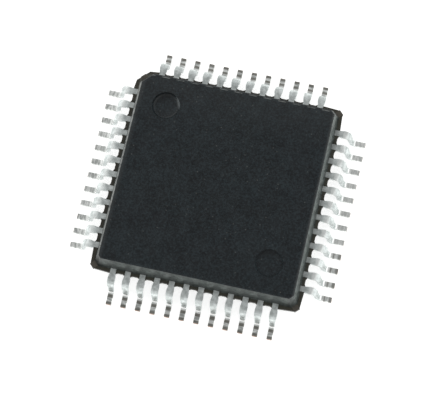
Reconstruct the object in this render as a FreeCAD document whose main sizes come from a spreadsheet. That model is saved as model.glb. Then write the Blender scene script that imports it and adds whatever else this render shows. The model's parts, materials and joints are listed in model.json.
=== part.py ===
import FreeCAD, Part
import os

import Sketcher

# Low-profile quad flat pack with 48 gull-wing leads, in millimetres.
# The origin is the middle of the package on the plane that its feet stand on, and +Z is up.
# Pin 1 is the topmost lead of the left side (-X), and the pins count on anticlockwise from there.

SIZES = (
    ("leads_per_side", 12, "leads on each of the four sides"),
    ("lead_pitch", 0.5, "spacing of the leads along a side"),
    ("corner_margin", 0.75, "last lead's middle to the edge of the moulding"),
    ("body_thickness", 1.4, "moulding from its underside to its top"),
    ("standoff", 0.1, "underside of the moulding above the feet"),
    ("draft_angle", 11.0, "slope of the moulding's sides, in degrees from upright"),
    ("upper_step", 0.075, "upper half set back from the lower half, each side"),
    ("pin1_cut", 0.38, "leg of the corner cut at pin 1"),
    ("corner_cut", 0.13, "leg of the cut at the other three corners"),
    ("edge_cut", 0.03, "small chamfer round the top and the underside"),
    ("flash_width", 0.045, "resin beyond the parting line, midway between two leads"),
    ("scallop_depth", 0.035, "extra resin beside a lead's flank"),
    ("scallop_floor", 0.16, "straight middle of the hollow between two leads"),
    ("mark_diameter", 0.94, "rim of the pin 1 mark and of the ejector marks"),
    ("mark_inset", 1.22, "middle of a mark to the edge of the moulding"),
    ("mark_depth", 0.13, "depth of the pin 1 mark, and radius of its wall"),
    ("ejector_depth", 0.06, "depth of an ejector mark"),
    ("ejector_slope", 0.045, "run of an ejector mark's sloping wall"),
    ("frame_thickness", 0.127, "sheet of the lead frame"),
    ("neck_width", 0.2, "lead where it leaves the moulding"),
    ("dambar_width", 0.26, "lead across the stubs left by the cut dambar"),
    ("foot_width", 0.18, "foot of a lead"),
    ("lead_length", 1.0, "edge of the moulding to the tip of a foot"),
    ("shoulder_length", 0.47, "edge of the moulding to the sharp corner of the shoulder"),
    ("bend_radius", 0.13, "inside radius of a lead's two bends"),
    ("leg_angle", 8.0, "leg's lean outwards, in degrees from upright"),
    ("taper_drop", 0.025, "top of the leads to where the leg starts to narrow"),
    ("taper_length", 0.36, "height over which the leg narrows to the foot's width"),
    ("finger_gap", 0.4, "die pad's edge to the fingers' tips"),
    ("finger_land", 0.2, "straight end of a finger, where the wire is bonded"),
    ("finger_width", 0.17, "straight end of a finger, across"),
    ("finger_pitch", 0.33, "spacing of the fingers' tips"),
    ("fan_margin", 0.3, "fan of the fingers to the edge of the moulding"),
    ("pad_size", 3.7, "side of the square die pad"),
    ("pad_downset", 0.2, "die pad below the plane of the leads"),
    ("tie_bar_width", 0.2, "tie bar at each corner of the die pad"),
    ("tie_bar_lead_in", 0.15, "die pad's corner to the tie bar's first bend"),
    ("tie_bar_slope", 45.0, "climb of the tie bar, in degrees"),
    ("tie_bar_proud", 0.02, "cut end of a tie bar beyond the resin"),
    ("attach_thickness", 0.02, "layer of adhesive under the chip"),
    ("attach_margin", 0.05, "adhesive squeezed out beyond the chip"),
    ("die_size", 3.0, "side of the square chip"),
    ("die_thickness", 0.28, "thickness of the chip"),
    ("bond_pitch", 0.22, "spacing of the bonds along the chip's edge"),
    ("bond_inset", 0.1, "bonds to the chip's edge"),
    ("wire_width", 0.025, "bond wire, across"),
    ("loop_height", 0.15, "top of a wire's loop above the chip"),
    ("stitch_inset", 0.05, "finger's tip to the start of the wire's stitch"),
    ("stitch_length", 0.08, "flat end of a wire on its finger"),
    ("cut_over", 0.1, "how far a cutting outline runs clear of what it cuts"),
)

SIDES = ("left", "front", "right", "back")
FIRST_SIDE_ANGLE = 180
QUARTER_TURN = 90
PIN1_CORNER_ANGLE = 135

# Small round stretches are drawn as this many chords, because they are repeated so often.
BEND_CHORDS = 3
MARK_CHORDS = 3

# Outlines and heights that several pieces share, worked out from the sheet.
BODY_HALF = "((sizes.leads_per_side - 1) / 2 * sizes.lead_pitch + sizes.corner_margin)"
BODY_TOP = "(sizes.standoff + sizes.body_thickness)"
SHELL_HEIGHT = "((sizes.body_thickness - sizes.frame_thickness) / 2)"
DRAFT_INSET = f"({SHELL_HEIGHT} * tan(sizes.draft_angle))"
FRAME_LOW = f"(sizes.standoff + {SHELL_HEIGHT})"
FRAME_TOP = f"({FRAME_LOW} + sizes.frame_thickness)"
LEDGE_MIDDLE = f"({BODY_HALF} + sizes.flash_width)"
LEDGE_FLANK = f"({LEDGE_MIDDLE} + sizes.scallop_depth)"
MARK_PLACE = f"({BODY_HALF} - sizes.mark_inset)"

# Places along a lead, measured outwards from the middle of the package.
TURN = "(90 - sizes.leg_angle)"
OUTER_BEND = "(sizes.bend_radius + sizes.frame_thickness)"
SHOULDER_CORNER = f"({BODY_HALF} + sizes.shoulder_length)"
BEND_START = f"({SHOULDER_CORNER} - {OUTER_BEND} * tan({TURN} / 2))"
BEND_END = f"({SHOULDER_CORNER} + {FRAME_LOW} / tan({TURN}) + sizes.bend_radius * tan({TURN} / 2))"
LEAD_TIP = f"({BODY_HALF} + sizes.lead_length)"
FINGER_TIP = "(sizes.pad_size / 2 + sizes.finger_gap)"
FINGER_LAND_END = f"({FINGER_TIP} + sizes.finger_land)"
FAN_END = f"({BODY_HALF} - sizes.fan_margin)"

# Heights of what lies on the die pad.
PAD_TOP = f"({FRAME_TOP} - sizes.pad_downset)"
PAD_LOW = f"({FRAME_LOW} - sizes.pad_downset)"
ATTACH_TOP = f"({PAD_TOP} + sizes.attach_thickness)"
DIE_TOP = f"({ATTACH_TOP} + sizes.die_thickness)"


def minus(expression):
    """Returns the expression with its sign turned round."""
    return f"-({expression})"


def add_sheet(doc):
    """Adds the spreadsheet that holds the driving sizes."""
    sheet = doc.addObject("Spreadsheet::Sheet", "sizes")
    for row, (alias, value, note) in enumerate(SIZES, start=1):
        sheet.set(f"A{row}", note)
        sheet.set(f"B{row}", str(value))
        sheet.setAlias(f"B{row}", alias)
    doc.recompute()
    return sheet


def number(item, expression):
    """Works an expression out as a plain number."""
    return float(item.evalExpression(expression))


def chords(centre, radius, first, last, count):
    """Returns the corners of an arc drawn as chords, from one angle to another, at a centre (x, y)."""
    corners = []
    for step in range(count + 1):
        angle = f"({first} + ({last} - {first}) * {step} / {count})"
        corners.append((f"({centre[0]} + {radius} * cos({angle}))", f"({centre[1]} + {radius} * sin({angle}))"))
    return corners


def draw_outline(sketch, corners):
    """Draws a closed outline through corners, each held by the two expressions for its place."""
    places = [FreeCAD.Vector(number(sketch, x), number(sketch, y), 0) for x, y in corners]
    first = sketch.GeometryCount
    sketch.addGeometry([Part.LineSegment(start, end) for start, end in zip(places, places[1:] + places[:1])], False)
    start_point, end_point = 1, 2
    constraints = []
    for step, place in enumerate(places):
        index = first + step
        following = first + (step + 1) % len(corners)
        constraints.append(Sketcher.Constraint("DistanceX", index, start_point, place.x))
        constraints.append(Sketcher.Constraint("DistanceY", index, start_point, place.y))
        constraints.append(Sketcher.Constraint("Coincident", index, end_point, following, start_point))
    added = sketch.addConstraint(constraints)
    for across, upward, (x, y) in zip(added[0::3], added[1::3], corners):
        sketch.setExpression(f"Constraints[{across}]", x)
        sketch.setExpression(f"Constraints[{upward}]", y)


def origin_item(body, role):
    """Returns a plane or an axis of the body's own origin."""
    return next(item for item in body.Origin.OriginFeatures if item.Role == role)


def add_sketch(body, name, role, outlines, offset=("0", "0", "0"), turn=0):
    """Adds a sketch on a plane of the body's origin, moved by offset and turned about its own upright axis."""
    sketch = body.newObject("Sketcher::SketchObject", f"{body.Name}_{name}_sketch")
    sketch.AttachmentSupport = [(origin_item(body, role), "")]
    sketch.MapMode = "FlatFace"
    sketch.AttachmentOffset = FreeCAD.Placement(FreeCAD.Vector(), FreeCAD.Rotation(FreeCAD.Vector(0, 1, 0), turn))
    for axis, distance in zip("xyz", offset):
        sketch.setExpression(f"AttachmentOffset.Base.{axis}", distance)
    for outline in outlines:
        draw_outline(sketch, outline)
    return sketch


def add_pad(body, name, sketch, length, symmetric=False):
    """Pads a sketch by length, to one side or to both."""
    pad = body.newObject("PartDesign::Pad", f"{body.Name}_{name}")
    pad.Profile = sketch
    pad.Midplane = symmetric
    pad.setExpression("Length", length)
    return pad


def add_pocket(body, name, sketch, length):
    """Cuts a sketch away by length, towards +X or +Z, whichever its plane faces."""
    pocket = body.newObject("PartDesign::Pocket", f"{body.Name}_{name}")
    pocket.Profile = sketch
    pocket.Type = "Length"
    pocket.Reversed = True
    pocket.setExpression("Length", length)
    return pocket


def cut_square(half):
    """Returns a square outline with its corners cut off, and that of pin 1 by more."""
    side = f"({half} - sizes.corner_cut)"
    pin1_side = f"({half} - sizes.pin1_cut)"
    return [
        (half, minus(side)),
        (half, side),
        (side, half),
        (minus(pin1_side), half),
        (minus(half), pin1_side),
        (minus(half), minus(side)),
        (minus(side), minus(half)),
        (side, minus(half)),
    ]


def add_shell(body, name, low_half, low_height, high_half, high_height):
    """Adds half of the moulding, lofted between the outlines of its parting line and its flat face."""
    low = add_sketch(body, f"{name}_low", "XY_Plane", [cut_square(low_half)], ("0", "0", low_height))
    high = add_sketch(body, f"{name}_high", "XY_Plane", [cut_square(high_half)], ("0", "0", high_height))
    loft = body.newObject("PartDesign::AdditiveLoft", f"{body.Name}_{name}")
    loft.Profile = low
    loft.Sections = [high]
    loft.Ruled = True
    return loft


def ledge_outline():
    """Returns the outline of the resin layer between the leads, before its scallops."""
    flank = f"({BODY_HALF} - sizes.corner_margin + sizes.neck_width / 2)"
    side = f"({LEDGE_MIDDLE} - sizes.corner_cut)"
    pin1_side = f"({LEDGE_MIDDLE} - sizes.pin1_cut)"
    return [
        (LEDGE_MIDDLE, minus(side)),
        (LEDGE_FLANK, minus(flank)),
        (LEDGE_FLANK, flank),
        (LEDGE_MIDDLE, side),
        (side, LEDGE_MIDDLE),
        (flank, LEDGE_FLANK),
        (minus(flank), LEDGE_FLANK),
        (minus(pin1_side), LEDGE_MIDDLE),
        (minus(LEDGE_MIDDLE), pin1_side),
        (minus(LEDGE_FLANK), flank),
        (minus(LEDGE_FLANK), minus(flank)),
        (minus(LEDGE_MIDDLE), minus(side)),
        (minus(side), minus(LEDGE_MIDDLE)),
        (minus(flank), minus(LEDGE_FLANK)),
        (flank, minus(LEDGE_FLANK)),
        (side, minus(LEDGE_MIDDLE)),
    ]


def scallop_outline(gap):
    """Returns the hollow that the dambar's cutter leaves in the resin between two leads."""
    mouth = "((sizes.lead_pitch - sizes.neck_width) / 2)"
    floor = "(sizes.scallop_floor / 2)"
    middle = f"(({gap} + 1 - sizes.leads_per_side / 2) * sizes.lead_pitch)"
    outside = f"({LEDGE_FLANK} + sizes.cut_over)"
    return [
        (f"({middle} - {mouth})", outside),
        (f"({middle} - {mouth})", LEDGE_FLANK),
        (f"({middle} - {floor})", LEDGE_MIDDLE),
        (f"({middle} + {floor})", LEDGE_MIDDLE),
        (f"({middle} + {mouth})", LEDGE_FLANK),
        (f"({middle} + {mouth})", outside),
    ]


def add_ledge(body, sheet):
    """Adds the layer of resin that fills the spaces of the lead frame, scalloped between the leads."""
    outline = add_sketch(body, "ledge", "XY_Plane", [ledge_outline()], ("0", "0", FRAME_LOW))
    add_pad(body, "ledge", outline, "sizes.frame_thickness")
    gaps = range(int(sheet.leads_per_side) - 1)
    scallops = add_sketch(body, "scallops", "XY_Plane", [scallop_outline(gap) for gap in gaps],
                          ("0", "0", FRAME_LOW))
    pocket = add_pocket(body, "scallops", scallops, "sizes.frame_thickness")
    rows = body.newObject("PartDesign::PolarPattern", f"{body.Name}_scallop_rows")
    rows.Originals = [pocket]
    rows.Axis = (origin_item(body, "Z_Axis"), [""])
    rows.Angle = 360
    rows.Occurrences = len(SIDES)
    body.Tip = rows


def add_mark(body, name, x, y, outline):
    """Turns a round mark into a flat face of the moulding, about an upright axis at x, y."""
    sketch = add_sketch(body, name, "XZ_Plane", [outline], (x, "0", minus(y)))
    groove = body.newObject("PartDesign::Groove", f"{body.Name}_{name}")
    groove.Profile = sketch
    groove.ReferenceAxis = (sketch, ["V_Axis"])
    groove.Angle = 360


def pin1_mark_outline():
    """Returns half the section of the dished pin 1 mark, its wall a quarter round down to a flat floor."""
    rim = "(sizes.mark_diameter / 2)"
    above = f"({BODY_TOP} + sizes.cut_over)"
    floor = f"({BODY_TOP} - sizes.mark_depth)"
    wall_centre = (f"({rim} - sizes.mark_depth)", BODY_TOP)
    return [("0", floor), ("0", above), (rim, above)] + chords(wall_centre, "sizes.mark_depth", 0, -90, MARK_CHORDS)


def ejector_mark_outline(face, inwards):
    """Returns half the section of a shallow ejector mark, sunk from a face towards +Z or -Z."""
    rim = "(sizes.mark_diameter / 2)"
    outside = f"({face} - {inwards} * sizes.cut_over)"
    floor = f"({face} + {inwards} * sizes.ejector_depth)"
    return [
        ("0", floor),
        ("0", outside),
        (rim, outside),
        (rim, face),
        (f"({rim} - sizes.ejector_slope)", floor),
    ]


def face_edges(shape, heights):
    """Returns the names of the edges that lie at one of the heights."""
    names = []
    for index, edge in enumerate(shape.Edges, start=1):
        for height in heights:
            if all(abs(vertex.Z - height) < Part.Precision.confusion() for vertex in edge.Vertexes):
                names.append(f"Edge{index}")
    return names


def add_moulding(doc, sheet):
    """Adds the resin as it would be with nothing inside it."""
    body = doc.addObject("PartDesign::Body", "moulding")
    upper_half = f"({BODY_HALF} - sizes.upper_step)"
    add_shell(body, "lower", f"({BODY_HALF} - {DRAFT_INSET})", "sizes.standoff", BODY_HALF, FRAME_LOW)
    add_shell(body, "upper", upper_half, FRAME_TOP, f"({upper_half} - {DRAFT_INSET})", BODY_TOP)
    add_ledge(body, sheet)
    doc.recompute()

    sharp = body.Tip
    heights = [number(body, BODY_TOP), number(body, "sizes.standoff")]
    edges = body.newObject("PartDesign::Chamfer", "moulding_edges")
    edges.Base = (sharp, face_edges(sharp.Shape, heights))
    edges.setExpression("Size", "sizes.edge_cut")
    body.Tip = edges

    add_mark(body, "pin1_mark", minus(MARK_PLACE), MARK_PLACE, pin1_mark_outline())
    add_mark(body, "top_ejector", MARK_PLACE, minus(MARK_PLACE), ejector_mark_outline(BODY_TOP, -1))
    underside = ejector_mark_outline("sizes.standoff", 1)
    add_mark(body, "left_ejector", minus(MARK_PLACE), minus(MARK_PLACE), underside)
    add_mark(body, "right_ejector", MARK_PLACE, MARK_PLACE, underside)
    return body


def flat_outline(offset):
    """Returns the flat of a lead from above: its finger, which fans in to the chip, and its neck.

    The neck widens from the edge of the resin to the stub of the cut dambar, where the top bend starts.
    """
    tip = f"({offset} * (sizes.finger_pitch - sizes.lead_pitch))"
    land = "(sizes.finger_width / 2)"
    neck = "(sizes.neck_width / 2)"
    flare = "(sizes.dambar_width / 2)"
    return [
        (FINGER_TIP, f"({tip} - {land})"),
        (FINGER_LAND_END, f"({tip} - {land})"),
        (FAN_END, minus(neck)),
        (LEDGE_FLANK, minus(neck)),
        (BEND_START, minus(flare)),
        (BEND_START, flare),
        (LEDGE_FLANK, neck),
        (FAN_END, neck),
        (FINGER_LAND_END, f"({tip} + {land})"),
        (FINGER_TIP, f"({tip} + {land})"),
    ]


def formed_outline():
    """Returns the formed end of a lead from its side: top bend, leg, lower bend and foot."""
    top_centre = (BEND_START, f"({FRAME_LOW} - sizes.bend_radius)")
    low_centre = (BEND_END, OUTER_BEND)
    return [
        *chords(top_centre, OUTER_BEND, 90, "sizes.leg_angle", BEND_CHORDS),
        *chords(low_centre, "sizes.bend_radius", "(180 + sizes.leg_angle)", 270, BEND_CHORDS),
        (LEAD_TIP, "sizes.frame_thickness"),
        (LEAD_TIP, "0"),
        *chords(low_centre, OUTER_BEND, 270, "(180 + sizes.leg_angle)", BEND_CHORDS),
        *chords(top_centre, "sizes.bend_radius", "sizes.leg_angle", 90, BEND_CHORDS),
    ]


def taper_outline(side):
    """Returns what is trimmed off one flank of the leg and foot, seen from the lead's tip."""
    foot = f"({side} * sizes.foot_width / 2)"
    stub = f"({side} * sizes.dambar_width / 2)"
    outside = f"({side} * (sizes.dambar_width / 2 + sizes.cut_over))"
    taper_top = f"({FRAME_TOP} - sizes.taper_drop)"
    return [
        (foot, "-sizes.cut_over"),
        (outside, "-sizes.cut_over"),
        (outside, taper_top),
        (stub, taper_top),
        (foot, f"({taper_top} - sizes.taper_length)"),
    ]


def add_lead(doc, name, side, place):
    """Adds one lead, made along +X and then turned to its side and moved to its place along it."""
    body = doc.addObject("PartDesign::Body", name)
    offset = f"({place} - (sizes.leads_per_side - 1) / 2)"
    flat = add_sketch(body, "flat", "XY_Plane", [flat_outline(offset)], ("0", "0", FRAME_LOW))
    add_pad(body, "flat", flat, "sizes.frame_thickness")
    formed = add_sketch(body, "formed", "XZ_Plane", [formed_outline()])
    add_pad(body, "formed", formed, "sizes.dambar_width", symmetric=True)
    taper = add_sketch(body, "taper", "YZ_Plane", [taper_outline(1), taper_outline(-1)])
    add_pocket(body, "taper", taper, f"{LEAD_TIP} + sizes.cut_over")

    turn = FreeCAD.Rotation(FreeCAD.Vector(0, 0, 1), FIRST_SIDE_ANGLE + QUARTER_TURN * side)
    along = turn.multVec(FreeCAD.Vector(0, 1, 0))
    body.Placement = FreeCAD.Placement(FreeCAD.Vector(), turn)
    body.setExpression("Placement.Base.x", f"{round(along.x)} * {offset} * sizes.lead_pitch")
    body.setExpression("Placement.Base.y", f"{round(along.y)} * {offset} * sizes.lead_pitch")
    return body


def add_leads(doc, sheet):
    """Adds all the leads, counted anticlockwise from pin 1."""
    per_side = int(sheet.leads_per_side)
    leads = []
    for side in range(len(SIDES)):
        for place in range(per_side):
            leads.append(add_lead(doc, f"lead_{side * per_side + place + 1:02d}", side, place))
    return leads


def tie_bar_outline(corner_cut):
    """Returns a tie bar from its side, out along the diagonal: off the pad, up the slope, to the corner."""
    pad_corner = "(sizes.pad_size / 2 * sqrt(2))"
    start = f"({pad_corner} - sizes.tie_bar_width)"
    first_bend = f"({pad_corner} + sizes.tie_bar_lead_in)"
    second_bend = f"({first_bend} + sizes.pad_downset / tan(sizes.tie_bar_slope))"
    step = "(sizes.frame_thickness * tan(sizes.tie_bar_slope / 2))"
    end = f"((2 * {LEDGE_MIDDLE} - {corner_cut}) / sqrt(2) + sizes.tie_bar_proud)"
    return [
        (start, PAD_LOW),
        (first_bend, PAD_LOW),
        (second_bend, FRAME_LOW),
        (end, FRAME_LOW),
        (end, FRAME_TOP),
        (f"({second_bend} - {step})", FRAME_TOP),
        (f"({first_bend} - {step})", PAD_TOP),
        (start, PAD_TOP),
    ]


def add_die_pad(doc):
    """Adds the die pad with the four tie bars that held it in the lead frame."""
    body = doc.addObject("PartDesign::Body", "die_pad")
    half = "(sizes.pad_size / 2)"
    square = [(half, minus(half)), (half, half), (minus(half), half), (minus(half), minus(half))]
    paddle = add_sketch(body, "paddle", "XY_Plane", [square], ("0", "0", PAD_LOW))
    add_pad(body, "paddle", paddle, "sizes.frame_thickness")
    for corner in range(len(SIDES)):
        angle = QUARTER_TURN / 2 + QUARTER_TURN * corner
        corner_cut = "sizes.pin1_cut" if angle == PIN1_CORNER_ANGLE else "sizes.corner_cut"
        bar = add_sketch(body, f"tie_bar_{corner + 1}", "XZ_Plane", [tie_bar_outline(corner_cut)], turn=angle)
        add_pad(body, f"tie_bar_{corner + 1}", bar, "sizes.tie_bar_width", symmetric=True)
    return body


def add_plate(doc, name, side, thickness, underside):
    """Adds a square plate in the middle of the package."""
    plate = doc.addObject("Part::Box", name)
    plate.setExpression("Length", side)
    plate.setExpression("Width", side)
    plate.setExpression("Height", thickness)
    plate.setExpression("Placement.Base.x", f"-({side}) / 2")
    plate.setExpression("Placement.Base.y", f"-({side}) / 2")
    plate.setExpression("Placement.Base.z", underside)
    return plate


def bond_wire(feature, place):
    """Returns the wire from the chip to one finger: up, over its loop, down, and flat on the finger."""
    offset = f"({place} - (sizes.leads_per_side - 1) / 2)"
    width = number(feature, "sizes.wire_width")
    bond = FreeCAD.Vector(number(feature, "sizes.die_size / 2 - sizes.bond_inset"),
                          number(feature, f"{offset} * sizes.bond_pitch"),
                          number(feature, DIE_TOP))
    stitch = FreeCAD.Vector(number(feature, f"{FINGER_TIP} + sizes.stitch_inset"),
                            number(feature, f"{offset} * sizes.finger_pitch"),
                            number(feature, FRAME_TOP) + width / 2)
    along = FreeCAD.Vector(stitch.x - bond.x, stitch.y - bond.y, 0).normalize()
    across = FreeCAD.Vector(-along.y, along.x, 0)
    spine = Part.makePolygon([
        bond,
        bond + FreeCAD.Vector(0, 0, number(feature, "sizes.loop_height")),
        stitch,
        stitch + along * number(feature, "sizes.stitch_length"),
    ])
    half = width / 2
    corners = [bond + along * a * half + across * b * half for a, b in ((-1, -1), (1, -1), (1, 1), (-1, 1))]
    section = Part.makePolygon(corners + corners[:1])
    right_corners = 1
    return spine.makePipeShell([section], True, False, right_corners)


def add_bond_wires(doc, sheet, side):
    """Adds the wires to the fingers of one side, as separate solids of one group."""
    feature = doc.addObject("Part::Feature", f"bond_wires_{SIDES[side]}")
    feature.Shape = Part.makeCompound([bond_wire(feature, place) for place in range(int(sheet.leads_per_side))])
    turn = FreeCAD.Rotation(FreeCAD.Vector(0, 0, 1), FIRST_SIDE_ANGLE + QUARTER_TURN * side)
    feature.Placement = FreeCAD.Placement(FreeCAD.Vector(), turn)
    return feature


def add_mould_body(doc, moulding, inside):
    """Adds the moulding as it really is, with everything that it was moulded round taken out of it."""
    core = doc.addObject("Part::MultiFuse", "core")
    core.Shapes = inside
    core.Refine = False
    mould_body = doc.addObject("Part::Cut", "mould_body")
    mould_body.Base = moulding
    mould_body.Tool = core
    return mould_body


def check(doc, pieces):
    """Stops if an object failed, a cut removed nothing, or a piece is not a sound solid."""
    for item in doc.Objects:
        if "Invalid" in item.State or "Error" in item.State:
            raise RuntimeError(f"{item.Label} could not be made: {item.State}")
        if item.TypeId in ("PartDesign::Pocket", "PartDesign::Groove"):
            if item.Shape.Volume >= item.BaseFeature.Shape.Volume:
                raise RuntimeError(f"{item.Label} cuts nothing")
    for piece in pieces:
        if piece.Shape.isNull() or not piece.Shape.isValid() or not piece.Shape.Solids:
            raise RuntimeError(f"{piece.Label} is not a sound solid")


def main():
    doc = FreeCAD.newDocument("quad_flat_pack")
    sheet = add_sheet(doc)
    leads = add_leads(doc, sheet)
    die_pad = add_die_pad(doc)
    attach_side = "sizes.die_size + 2 * sizes.attach_margin"
    attach = add_plate(doc, "die_attach", attach_side, "sizes.attach_thickness", PAD_TOP)
    die = add_plate(doc, "silicon_die", "sizes.die_size", "sizes.die_thickness", ATTACH_TOP)
    wires = [add_bond_wires(doc, sheet, side) for side in range(len(SIDES))]

    inside = [*leads, die_pad, attach, die, *wires]
    mould_body = add_mould_body(doc, add_moulding(doc, sheet), inside)
    doc.recompute()

    pieces = [mould_body, *inside]
    check(doc, pieces)
    os.makedirs("parts", exist_ok=True)
    for piece in pieces:
        piece.Shape.exportStep(os.path.join("parts", f"{piece.Label}.step"))


main()
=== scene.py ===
import json

import bpy
from mathutils import Matrix, Vector

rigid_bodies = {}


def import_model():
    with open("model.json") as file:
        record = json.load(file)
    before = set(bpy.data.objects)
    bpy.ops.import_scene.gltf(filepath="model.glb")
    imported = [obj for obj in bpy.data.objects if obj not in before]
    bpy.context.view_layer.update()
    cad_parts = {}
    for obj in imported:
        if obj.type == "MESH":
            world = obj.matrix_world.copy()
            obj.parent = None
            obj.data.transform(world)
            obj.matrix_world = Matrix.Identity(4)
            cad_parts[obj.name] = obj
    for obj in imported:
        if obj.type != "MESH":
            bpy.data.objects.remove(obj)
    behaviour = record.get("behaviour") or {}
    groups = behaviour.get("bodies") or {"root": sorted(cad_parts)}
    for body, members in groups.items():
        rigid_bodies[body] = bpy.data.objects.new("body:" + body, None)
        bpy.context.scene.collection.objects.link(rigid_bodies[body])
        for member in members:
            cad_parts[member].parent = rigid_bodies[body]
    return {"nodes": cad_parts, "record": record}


MM = 0.001

# Where the photograph was taken from: the camera's place in millimetres, and its right, up and backward axes.
CAMERA_PLACE = (6.2482, -16.7752, 63.3547)
CAMERA_AXES = (
    (0.97365, 0.22451, -0.04006),
    (-0.20648, 0.94239, 0.26318),
    (0.09684, -0.24798, 0.96391),
)
FOCAL_PIXELS = 1943.0
IMAGE_WIDTH = 424
SENSOR_WIDTH = 36.0

# Where the materials change, in millimetres outwards from the middle of the part and up from its feet.
LEAD_PITCH = 0.5
STUB_FLANK = 0.128
NECK_START = 3.35
FEET_SIDE = 3.9
FOOT_START = 4.1
LEAD_TIP = 4.5
FRAME_LOW = 0.74
FRAME_TOP = 0.86
LEDGE_REACH = 3.435
SIDES_REACH = 3.0
SIDES_LOW = 0.13
SIDES_TOP = 1.465
BEVEL_START = 3.2
BEVEL_END = 3.25
MARK_PLACE = 2.28
MARK_FLOOR = 1.36
MARK_RIM = 1.496

# Places on the two diagonals of the part, in the same millimetres: y minus x, and the sum of both.
CUT_CORNER = 5.85
TIE_BAR_ENDS = 6.2

# How the meshes are joined and shaded: angles in radians, lengths in millimetres.
JOIN_DISTANCE = 0.0001
FLAT_ANGLE = 0.02
BEND_ANGLE = 0.6
EDGE_ANGLE = 0.9
LEAD_EDGE = 0.014

FLOOR_HALF = 1000.0
FLOOR_DROP = 0.01

for leftover in list(bpy.data.objects):
    bpy.data.objects.remove(leftover)

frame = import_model()
bpy.context.view_layer.update()
scene = bpy.context.scene
scene.view_settings.view_transform = "Standard"


class Graph:
    """Builds a shader from short calls. Each call gives back the socket of what it made."""

    def __init__(self, tree):
        self.tree = tree
        self.tree.nodes.clear()

    def node(self, kind, inputs=(), **settings):
        made = self.tree.nodes.new(kind)
        for name, value in settings.items():
            setattr(made, name, value)
        for key, value in dict(inputs).items():
            self.put(made.inputs[key], value)
        return made

    def put(self, socket, value):
        if isinstance(value, bpy.types.NodeSocket):
            self.tree.links.new(value, socket)
        elif isinstance(value, tuple) and socket.type == "RGBA":
            socket.default_value = (*value, 1)
        else:
            socket.default_value = value

    def math(self, operation, *values):
        made = self.node("ShaderNodeMath", operation=operation)
        for socket, value in zip(made.inputs, values):
            self.put(socket, value)
        return made.outputs[0]

    def ramp(self, value, low, high, start=0.0, end=1.0):
        """Turns value smoothly from start at low to end at high, and keeps it there beyond."""
        inputs = {"Value": value, "From Min": low, "From Max": high, "To Min": start, "To Max": end}
        return self.node("ShaderNodeMapRange", inputs, interpolation_type="SMOOTHSTEP").outputs["Result"]

    def window(self, value, low, high, edge):
        """Is one between low and high, and fades to nothing over edge outside them."""
        rise = self.ramp(value, self.math("SUBTRACT", low, edge), low)
        fall = self.ramp(value, high, self.math("ADD", high, edge), 1.0, 0.0)
        return self.math("MULTIPLY", rise, fall)

    def mix(self, share, first, second):
        made = self.node("ShaderNodeMix", data_type="RGBA")
        self.put(made.inputs["Factor"], share)
        self.put(made.inputs[6], first)
        self.put(made.inputs[7], second)
        return made.outputs[2]

    def noise(self, vector, scale, detail=3.0, rough=0.6):
        inputs = {"Vector": vector, "Scale": scale, "Detail": detail, "Roughness": rough}
        return self.node("ShaderNodeTexNoise", inputs).outputs["Fac"]

    def bump(self, height, depth_mm, normal=None):
        inputs = {"Height": height, "Strength": 1.0, "Distance": depth_mm * MM}
        if normal is not None:
            inputs["Normal"] = normal
        return self.node("ShaderNodeBump", inputs).outputs["Normal"]

    def millimetres(self):
        """Gives the place on the part as a vector in millimetres, and its three numbers."""
        place = self.node("ShaderNodeTexCoord").outputs["Object"]
        scaled = self.node("ShaderNodeVectorMath", {"Vector": place, "Scale": 1 / MM}, operation="SCALE")
        parts = self.node("ShaderNodeSeparateXYZ", {"Vector": scaled.outputs[0]}).outputs
        return scaled.outputs[0], parts["X"], parts["Y"], parts["Z"]

    def row_places(self, x, y):
        """Gives how far out a place is, how far along its row of leads, and how far from the nearest lead."""
        across_x = self.math("ABSOLUTE", x)
        across_y = self.math("ABSOLUTE", y)
        reach = self.math("MAXIMUM", across_x, across_y)
        along = self.math("MINIMUM", across_x, across_y)
        in_pitch = self.math("MODULO", along, LEAD_PITCH)
        return reach, along, self.math("ABSOLUTE", self.math("SUBTRACT", in_pitch, LEAD_PITCH / 2))

    def vector(self, x, y, z):
        return self.node("ShaderNodeCombineXYZ", {"X": x, "Y": y, "Z": z}).outputs[0]

    def surface(self, **inputs):
        shader = self.node("ShaderNodeBsdfPrincipled")
        for name, value in inputs.items():
            self.put(shader.inputs[name.replace("_", " ")], value)
        self.node("ShaderNodeOutputMaterial", {"Surface": shader.outputs[0]})
        return shader


def new_material(name):
    material = bpy.data.materials.new(name)
    material.use_nodes = True
    return material, Graph(material.node_tree)


def mould_top(g, place, x, y, grain):
    """Gives the colour of the matt faces: dark with pale specks, with painted light that makes them lighter
    at the back and near the left and right edges.
    """
    mottle = g.noise(place, 1.6, 3.0, 0.6)
    shade = g.math("ADD", g.ramp(grain, 0.4, 0.64, 0.0, 0.8), g.ramp(mottle, 0.35, 0.7, 0.0, 0.2))
    body = g.mix(shade, (0.0006, 0.0022, 0.0036), (0.0165, 0.0262, 0.0308))
    cells = g.node("ShaderNodeTexVoronoi", {"Vector": place, "Scale": 7.0})
    pick = g.node("ShaderNodeSeparateColor", {"Color": cells.outputs["Color"]}).outputs[0]
    speck = g.math("MULTIPLY", g.ramp(cells.outputs["Distance"], 0.1, 0.2, 1.0, 0.0), g.ramp(pick, 0.6, 0.95))
    body = g.mix(g.math("MULTIPLY", speck, 0.6), body, (0.09, 0.095, 0.09))
    # Painted light: the top is made lighter towards the back and near its left and right edges.
    at_left = g.ramp(x, -BEVEL_END - 0.02, -BEVEL_END + 0.17, 0.3, 0.0)
    at_right = g.ramp(x, BEVEL_START, BEVEL_START + 0.08, 0.0, 0.25)
    painted_light = g.math("ADD", g.math("ADD", g.ramp(y, 1.6, 3.5, 0.015, 0.135), at_left), at_right)
    return g.mix(painted_light, body, (0.075, 0.08, 0.08))


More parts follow.
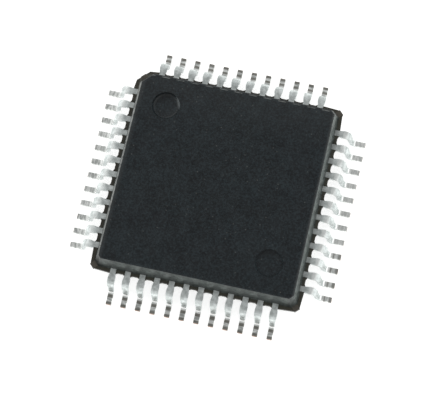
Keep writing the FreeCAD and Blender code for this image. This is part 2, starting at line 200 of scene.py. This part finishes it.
def mould_bevel(g, flow, x, y, z, from_lead, cut_corner):
    """Gives the colour of the bevels: cloudy, and much lighter than the top as a painted reflection. Painted
    shade makes them darker low down, on the front, above each lead and on the left, and painted light makes
    the right bevel lighter; the cut corner is streaked with brown."""
    # Painted reflection: the bevels are made much lighter than the top, as though they reflected the pale
    # floor.
    bevel = g.mix(g.ramp(flow, 0.36, 0.64), (0.047, 0.06, 0.056), (0.198, 0.235, 0.222))
    # Painted shade: the bevels darken towards their foot, less so on the right, where painted light keeps
    # them lighter.
    height = g.math("ADD", z, g.ramp(x, BEVEL_START, BEVEL_END, 0.0, 0.12))
    bevel = g.mix(g.ramp(height, 0.9, 1.4, 0.75, 0.1), bevel, (0.03, 0.034, 0.032))
    # Painted shade: the front bevel is darker in its upper part.
    front = g.math("MULTIPLY", g.ramp(y, -BEVEL_END, -BEVEL_START, 1.0, 0.0), g.ramp(z, 1.1, 1.4, 0.0, 0.42))
    bevel = g.mix(front, bevel, (0.03, 0.034, 0.032))
    # Painted shade: the bevel is darker above each lead, less so on the right.
    shade_over_lead = g.math("MULTIPLY", g.ramp(from_lead, 0.06, 0.18, 1.0, 0.0), g.ramp(z, 0.95, 1.4, 0.75, 0.25))
    shade_over_lead = g.math("MULTIPLY", shade_over_lead, g.ramp(x, BEVEL_START, BEVEL_END, 1.0, 0.6))
    bevel = g.mix(shade_over_lead, bevel, (0.02, 0.024, 0.023))
    # Painted shade: the left bevel is darker.
    left = g.ramp(x, -BEVEL_END, -BEVEL_START, 0.6, 0.0)
    bevel = g.mix(left, bevel, (0.016, 0.018, 0.015))
    streaked = g.math("MULTIPLY", g.ramp(z, 0.84, 0.88), g.ramp(flow, 0.4, 0.62, 0.1, 0.5))
    streaked = g.math("MULTIPLY", cut_corner, streaked)
    return g.mix(streaked, bevel, (0.26, 0.25, 0.21))


def edge_highlight_and_pale_line(g, body, flow, x, y, z, from_lead):
    """Paints a highlight along the top face's left edge, and a pale line along its back edge between the
    leads.
    """
    back = g.window(y, BEVEL_END - 0.015, BEVEL_END, 0.006)
    back = g.math("MULTIPLY", back, g.ramp(from_lead, 0.09, 0.15, 0.0, 0.6))
    # Painted highlight along the left edge of the top face.
    left = g.ramp(x, -BEVEL_END - 0.016, -BEVEL_END - 0.008, 1.0, 0.0)
    on_top = g.ramp(z, SIDES_TOP + 0.001, SIDES_TOP + 0.007)
    paled_edges = g.math("MULTIPLY", g.math("MAXIMUM", left, back), on_top)
    return g.mix(g.math("MULTIPLY", paled_edges, g.ramp(flow, 0.35, 0.6, 0.3, 1.0)), body, (0.34, 0.355, 0.34))


def mark_walls(g, body, x, y, z, reach):
    """Paints shade on the back of the walls of the two marks, and a painted highlight on the right of pin 1's
    wall.
    """
    from_mark_x = g.math("SUBTRACT", x, g.math("MULTIPLY", g.math("SIGN", x), MARK_PLACE))
    from_mark_y = g.math("SUBTRACT", y, g.math("MULTIPLY", g.math("SIGN", y), MARK_PLACE))
    wall = g.math("MULTIPLY", g.window(z, MARK_FLOOR, MARK_RIM, 0.003), g.ramp(reach, 2.85, 2.9, 1.0, 0.0))
    # Painted shade on the back of the marks' walls.
    back = g.ramp(g.math("SUBTRACT", from_mark_y, g.math("MULTIPLY", from_mark_x, 0.5)), 0.1, 0.5)
    body = g.mix(g.math("MULTIPLY", wall, g.math("MULTIPLY", back, 0.6)), body, (0.0, 0.0003, 0.0006))
    # Painted highlight on the right of pin 1's wall.
    right = g.ramp(g.math("ADD", from_mark_x, g.math("MULTIPLY", from_mark_y, 0.45)), 0.4, 0.5)
    right = g.math("MULTIPLY", right, g.ramp(x, -0.1, 0.1, 0.9, 0.0))
    return g.mix(g.math("MULTIPLY", wall, right), body, (0.17, 0.19, 0.195))


def mould_material():
    """Dark epoxy moulding compound, and the thin brown layer of it between the leads."""
    material, g = new_material("mould_compound_look")
    place, x, y, z = g.millimetres()
    reach, _, from_lead = g.row_places(x, y)
    grain = g.noise(place, 17.0, 3.0, 0.75)
    flow = g.noise(place, 6.0, 5.0, 0.75)
    body = mould_top(g, place, x, y, grain)
    cut_corner = g.ramp(g.math("SUBTRACT", y, x), CUT_CORNER, CUT_CORNER + 0.1)
    sides = g.math("MAXIMUM", g.ramp(reach, SIDES_REACH, SIDES_REACH + 0.02), cut_corner)
    sides = g.math("MULTIPLY", sides, g.window(z, SIDES_LOW, SIDES_TOP, 0.004))
    body = g.mix(sides, body, mould_bevel(g, flow, x, y, z, from_lead, cut_corner))
    body = edge_highlight_and_pale_line(g, body, flow, x, y, z, from_lead)
    body = mark_walls(g, body, x, y, z, reach)
    layer = g.math("MULTIPLY", g.ramp(reach, LEDGE_REACH, LEDGE_REACH + 0.025),
                   g.window(z, FRAME_LOW, FRAME_TOP, 0.012))
    resin = g.mix(g.noise(place, 9.0, 3.0, 0.6), (0.018, 0.017, 0.011), (0.06, 0.055, 0.037))
    colour = g.mix(layer, body, resin)
    rough = g.ramp(g.noise(place, 3.0, 2.0, 0.5), 0.3, 0.7, 0.34, 0.46)
    normal = g.bump(grain, 0.005, g.bump(g.noise(place, 40.0, 2.0, 0.6), 0.001))
    g.surface(Base_Color=colour, Roughness=rough, Specular_IOR_Level=0.33, Normal=normal)
    return material


def row_tones(g, tin, x, y, reach):
    """Paints shade on the leads at the back and on the necks on the right and left, and a painted highlight
    on the bends of those two rows.
    """
    right = g.ramp(x, NECK_START, NECK_START + 0.05)
    left = g.ramp(x, -NECK_START - 0.05, -NECK_START, 1.0, 0.0)
    # Painted shade: darker necks on the right and left, and darker leads at the back.
    right_shade = g.math("MULTIPLY", right, g.ramp(x, 3.48, 3.7, 0.3, 0.0))
    left_shade = g.math("MULTIPLY", left, g.ramp(x, -3.75, -3.6, 0.0, 0.16))
    back_shade = g.math("MULTIPLY", g.ramp(y, 3.48, 3.56), g.ramp(y, 3.55, 4.1, 0.26, 0.07))
    back_shade = g.math("MULTIPLY", back_shade, g.ramp(x, 0.0, 2.6, 1.0, 0.3))
    painted_row_shade = g.math("ADD", back_shade, g.math("ADD", left_shade, right_shade))
    tin = g.mix(painted_row_shade, tin, (0.0, 0.0, 0.0))
    # Painted highlight on the bends of the left and right rows.
    bend_highlight = g.math("MULTIPLY", g.math("MAXIMUM", left, right), g.window(reach, 3.75, 3.84, 0.06))
    return g.mix(g.math("MULTIPLY", bend_highlight, g.ramp(x, -3.4, 3.4, 0.3, 0.5)), tin, (0.95, 0.97, 0.95))


def foot_marks_and_reflections(g, tin, x, y, z, reach, along):
    """Marks the feet: stripes across them, part forming-tool marks and part painted reflection; a painted
    highlight along the heel, where the tin is also smoother; two dark bands of painted reflection; and
    painted light on the feet on the right.
    """
    on_right = g.ramp(x, FEET_SIDE, FEET_SIDE + 0.05)
    at_back = g.ramp(y, FEET_SIDE, FEET_SIDE + 0.05)
    later = g.math("ADD", g.math("MULTIPLY", on_right, 0.04), g.math("MULTIPLY", at_back, 0.05))
    foot_reach = g.math("SUBTRACT", reach, later)
    foot = g.math("MULTIPLY", g.ramp(z, 0.14, 0.19, 1.0, 0.0), g.ramp(foot_reach, FOOT_START, FOOT_START + 0.02))
    across = g.vector(g.math("MULTIPLY", reach, 14.0), g.math("MULTIPLY", along, 3.0), z)
    # Stripes across the feet: part forming-tool marks, part painted reflection.
    stripes = g.ramp(g.noise(across, 1.0, 2.0, 0.6), 0.35, 0.65)
    tin = g.mix(foot, tin, g.mix(stripes, (0.86, 0.88, 0.86), (0.44, 0.46, 0.445)))
    # Painted light: the feet on the right are lighter.
    brighter = g.math("MULTIPLY", foot, g.math("MULTIPLY", on_right, 0.4))
    tin = g.mix(brighter, tin, (0.95, 0.97, 0.95))
    # Painted highlight along the heel, where the roughness is also lowered.
    burnish_and_highlight = g.math("MULTIPLY", g.window(foot_reach, FOOT_START - 0.03, FOOT_START, 0.012),
                     g.window(z, 0.13, 0.28, 0.02))
    tin = g.mix(burnish_and_highlight, tin, (0.98, 0.99, 0.98))
    # Painted reflection: two dark bands across the feet, at the heel and the tip, on the front and back rows
    # and near a corner on the right.
    right_or_back = g.math("MAXIMUM", on_right, at_back)
    heel_start = g.ramp(right_or_back, 0.0, 1.0, FOOT_START + 0.07, FOOT_START + 0.1)
    heel_end = g.ramp(on_right, 0.0, 1.0, FOOT_START + 0.15, FOOT_START + 0.12)
    heel = g.window(foot_reach, heel_start, heel_end, 0.03)
    tip = g.window(reach, LEAD_TIP - 0.08, LEAD_TIP, 0.04)
    front_or_back = g.math("GREATER_THAN", g.math("ABSOLUTE", y), g.math("ABSOLUTE", x))
    near_corner = g.math("MULTIPLY", g.ramp(x, FEET_SIDE, FEET_SIDE + 0.1), g.ramp(y, -1.05, -0.95, 1.0, 0.0))
    banded_places = g.math("MAXIMUM", front_or_back, near_corner)
    reflection_band = g.math("MULTIPLY", foot, g.math("MULTIPLY", banded_places, g.math("MAXIMUM", heel, tip)))
    reflection_band = g.math("MULTIPLY", reflection_band, g.ramp(on_right, 0.0, 1.0, 0.8, 0.65))
    return g.mix(reflection_band, tin, (0.16, 0.153, 0.13)), burnish_and_highlight


def tin_material():
    """Matt tin over copper, marked on the feet by the forming tool and by painted reflections, with painted
    shade and highlights by row, bare copper where it was cut.
    """
    material, g = new_material("tin_plating_look")
    place, x, y, z = g.millimetres()
    reach, along, from_lead = g.row_places(x, y)
    grain = g.noise(place, 26.0, 3.0, 0.6)
    cloud = g.noise(place, 7.0, 2.0, 0.5)
    tin = g.mix(g.ramp(cloud, 0.3, 0.7), (0.52, 0.56, 0.55), (0.76, 0.81, 0.8))
    tin = row_tones(g, tin, x, y, reach)
    tin, burnish_and_highlight = foot_marks_and_reflections(g, tin, x, y, z, reach, along)
    stub = g.math("MULTIPLY", g.window(z, FRAME_LOW, FRAME_TOP, 0.005),
                  g.ramp(from_lead, STUB_FLANK, STUB_FLANK + 0.002))
    cut = g.math("MAXIMUM", stub, g.ramp(reach, LEAD_TIP - 0.006, LEAD_TIP - 0.002))
    copper = g.mix(g.noise(place, 18.0, 2.0, 0.6), (0.3, 0.16, 0.1), (0.66, 0.42, 0.3))
    colour = g.mix(g.math("MULTIPLY", cut, 0.7), tin, copper)
    rough = g.math("SUBTRACT", g.ramp(grain, 0.3, 0.7, 0.34, 0.48), g.math("MULTIPLY", burnish_and_highlight, 0.12))
    g.surface(Base_Color=colour, Metallic=1.0, Roughness=rough, Normal=g.bump(grain, 0.002))
    return material


def copper_material():
    """Bare copper alloy sheet, dulled by the heat of moulding, and stained by resin at its cut ends."""
    material, g = new_material("frame_copper_look")
    place, x, y, _ = g.millimetres()
    stain = g.noise(place, 5.0, 4.0, 0.6)
    clean = g.mix(g.ramp(stain, 0.3, 0.7), (0.3, 0.15, 0.09), (0.68, 0.41, 0.28))
    diagonal = g.math("ADD", g.math("ABSOLUTE", x), g.math("ABSOLUTE", y))
    end = g.ramp(diagonal, TIE_BAR_ENDS, TIE_BAR_ENDS + 0.1)
    smeared = g.mix(stain, (0.03, 0.031, 0.026), (0.07, 0.07, 0.056))
    colour = g.mix(g.math("MULTIPLY", end, 0.97), clean, smeared)
    rough = g.ramp(stain, 0.3, 0.7, 0.5, 0.32)
    bare = g.math("SUBTRACT", 1.0, g.math("MULTIPLY", end, 0.95))
    g.surface(Base_Color=colour, Metallic=bare, Roughness=rough, Normal=g.bump(g.noise(place, 30.0), 0.002))
    return material


def adhesive_material():
    """Silver-filled adhesive, grey with flakes."""
    material, g = new_material("die_adhesive_look")
    place = g.millimetres()[0]
    flake = g.noise(place, 40.0, 3.0, 0.7)
    colour = g.mix(g.ramp(flake, 0.4, 0.6), (0.22, 0.22, 0.21), (0.6, 0.6, 0.58))
    g.surface(Base_Color=colour, Metallic=0.6, Roughness=0.5, Normal=g.bump(flake, 0.002))
    return material


def silicon_material():
    """Polished silicon, with the faint colour changes of its thin oxide."""
    material, g = new_material("silicon_look")
    place = g.millimetres()[0]
    tint = g.noise(place, 2.5, 2.0, 0.5)
    colour = g.mix(g.ramp(tint, 0.35, 0.65), (0.13, 0.15, 0.2), (0.26, 0.24, 0.27))
    g.surface(Base_Color=colour, Metallic=0.7, Roughness=g.ramp(tint, 0.3, 0.7, 0.12, 0.2))
    return material


def gold_material():
    """Drawn gold wire."""
    material, g = new_material("bond_gold_look")
    place = g.millimetres()[0]
    grain = g.noise(place, 60.0, 2.0, 0.6)
    colour = g.mix(grain, (0.8, 0.52, 0.17), (0.95, 0.7, 0.3))
    g.surface(Base_Color=colour, Metallic=1.0, Roughness=0.25, Normal=g.bump(grain, 0.0005))
    return material


def shading_group(sharp_angle):
    """Gives a CAD mesh smooth shading wherever its faces meet at less than sharp_angle."""
    tree = bpy.data.node_groups.new("shading", "GeometryNodeTree")
    tree.interface.new_socket("Geometry", in_out="INPUT", socket_type="NodeSocketGeometry")
    tree.interface.new_socket("Geometry", in_out="OUTPUT", socket_type="NodeSocketGeometry")
    incoming = tree.nodes.new("NodeGroupInput")
    angle = tree.nodes.new("GeometryNodeInputMeshEdgeAngle")
    sharper = tree.nodes.new("FunctionNodeCompare")
    sharper.inputs[1].default_value = sharp_angle
    normals = tree.nodes.new("GeometryNodeSetMeshNormal")
    normals.inputs["Remove Custom"].default_value = True
    outgoing = tree.nodes.new("NodeGroupOutput")
    tree.links.new(incoming.outputs[0], normals.inputs["Mesh"])
    tree.links.new(angle.outputs["Unsigned Angle"], sharper.inputs[0])
    tree.links.new(sharper.outputs[0], normals.inputs["Edge Sharpness"])
    tree.links.new(normals.outputs[0], outgoing.inputs[0])
    return tree


def smooth(piece, group, edge_mm=0.0):
    """Rounds the sharp edges of a CAD node by edge_mm and shades its bends smoothly."""
    weld = piece.modifiers.new("join", "WELD")
    weld.merge_threshold = JOIN_DISTANCE * MM
    if edge_mm:
        flat = piece.modifiers.new("flat_faces", "DECIMATE")
        flat.decimate_type = "DISSOLVE"
        flat.angle_limit = FLAT_ANGLE
    shading = piece.modifiers.new("shading", "NODES")
    shading.node_group = group
    weights = piece.modifiers.new("weights", "WEIGHTED_NORMAL")
    weights.keep_sharp = True
    weights.weight = 90
    if edge_mm:
        edges = piece.modifiers.new("edges", "BEVEL")
        edges.width = edge_mm * MM
        edges.segments = 2
        edges.limit_method = "ANGLE"
        edges.angle_limit = EDGE_ANGLE
        edges.harden_normals = True


def add_floor():
    """A pale floor, white to the camera and to reflections, that keeps the shadow of the part."""
    half = FLOOR_HALF * MM
    corners = [(-half, -half, 0), (half, -half, 0), (half, half, 0), (-half, half, 0)]
    mesh = bpy.data.meshes.new("floor")
    mesh.from_pydata(corners, [], [(0, 1, 2, 3)])
    floor = bpy.data.objects.new("floor", mesh)
    floor.location.z = -FLOOR_DROP * MM
    scene.collection.objects.link(floor)
    material, g = new_material("floor_look")
    rays = g.node("ShaderNodeLightPath").outputs
    seen = g.math("MAXIMUM", rays["Is Camera Ray"], rays["Is Glossy Ray"])
    seen = g.math("MAXIMUM", seen, rays["Is Transmission Ray"])
    paper = g.mix(g.noise(g.millimetres()[0], 0.3), (0.84, 0.84, 0.83), (0.86, 0.86, 0.85))
    diffuse = g.node("ShaderNodeBsdfDiffuse", {"Color": paper})
    glow = g.node("ShaderNodeEmission", {"Color": (1.0, 1.0, 1.0), "Strength": g.math("MULTIPLY", seen, 0.7)})
    both = g.node("ShaderNodeAddShader", {0: diffuse.outputs[0], 1: glow.outputs[0]})
    g.node("ShaderNodeOutputMaterial", {"Surface": both.outputs[0]})
    mesh.materials.append(material)


def set_world():
    """White behind the part, darker overhead than near the horizon for what lights it."""
    world = bpy.data.worlds.new("studio")
    scene.world = world
    world.use_nodes = True
    g = Graph(world.node_tree)
    rays = g.node("ShaderNodeLightPath").outputs
    direction = g.node("ShaderNodeTexCoord").outputs["Generated"]
    toward = Vector((-0.75, 0.55, 0.35)).normalized()
    side = g.node("ShaderNodeVectorMath", {0: direction, 1: toward}, operation="DOT_PRODUCT").outputs["Value"]
    height = g.node("ShaderNodeSeparateXYZ", {"Vector": direction}).outputs["Z"]
    around = g.ramp(side, -0.6, 0.7, 0.84, 0.94)
    overhead = g.ramp(height, 0.6, 0.92)
    level = g.math("ADD", g.math("MULTIPLY", around, g.math("SUBTRACT", 1.0, overhead)),
                   g.math("MULTIPLY", overhead, 0.42))
    strength = g.math("MAXIMUM", rays["Is Camera Ray"], level)
    sky = g.node("ShaderNodeBackground", {"Color": (1.0, 1.0, 1.0), "Strength": strength})
    g.node("ShaderNodeOutputWorld", {"Surface": sky.outputs[0]})


def add_lamp(name, place, size, watts):
    """A square soft light that faces the part. Its place and size are in millimetres."""
    lamp = bpy.data.lights.new(name, "AREA")
    lamp.size = size * MM
    lamp.energy = watts
    holder = bpy.data.objects.new(name, lamp)
    holder.location = Vector(place) * MM
    holder.rotation_euler = Vector(place).to_track_quat("Z", "Y").to_euler()
    scene.collection.objects.link(holder)


def add_camera():
    data = bpy.data.cameras.new("camera")
    data.sensor_fit = "HORIZONTAL"
    data.sensor_width = SENSOR_WIDTH
    data.lens = FOCAL_PIXELS * SENSOR_WIDTH / IMAGE_WIDTH
    data.clip_start = MM
    camera = bpy.data.objects.new("camera", data)
    turn = Matrix(CAMERA_AXES).transposed().to_4x4()
    camera.matrix_world = Matrix.Translation(Vector(CAMERA_PLACE) * MM) @ turn
    scene.collection.objects.link(camera)
    scene.camera = camera


LOOKS = {
    "mould_compound": mould_material(),
    "tin_plating": tin_material(),
    "frame_copper": copper_material(),
    "die_adhesive": adhesive_material(),
    "silicon": silicon_material(),
    "bond_gold": gold_material(),
}
bends_smooth = shading_group(BEND_ANGLE)
for part in frame["record"]["subparts"]:
    piece = frame["nodes"][part["node"]]
    piece.data.materials[0] = LOOKS[part["material_slot"]]
    is_lead = part["node"].startswith("lead_")
    smooth(piece, bends_smooth, LEAD_EDGE if is_lead else 0.0)

add_floor()
set_world()
add_lamp("key", place=(-130, 100, 120), size=200, watts=0.05)
add_lamp("fill", place=(165, -20, 110), size=160, watts=0.05)
add_camera()

bpy.context.view_layer.update()
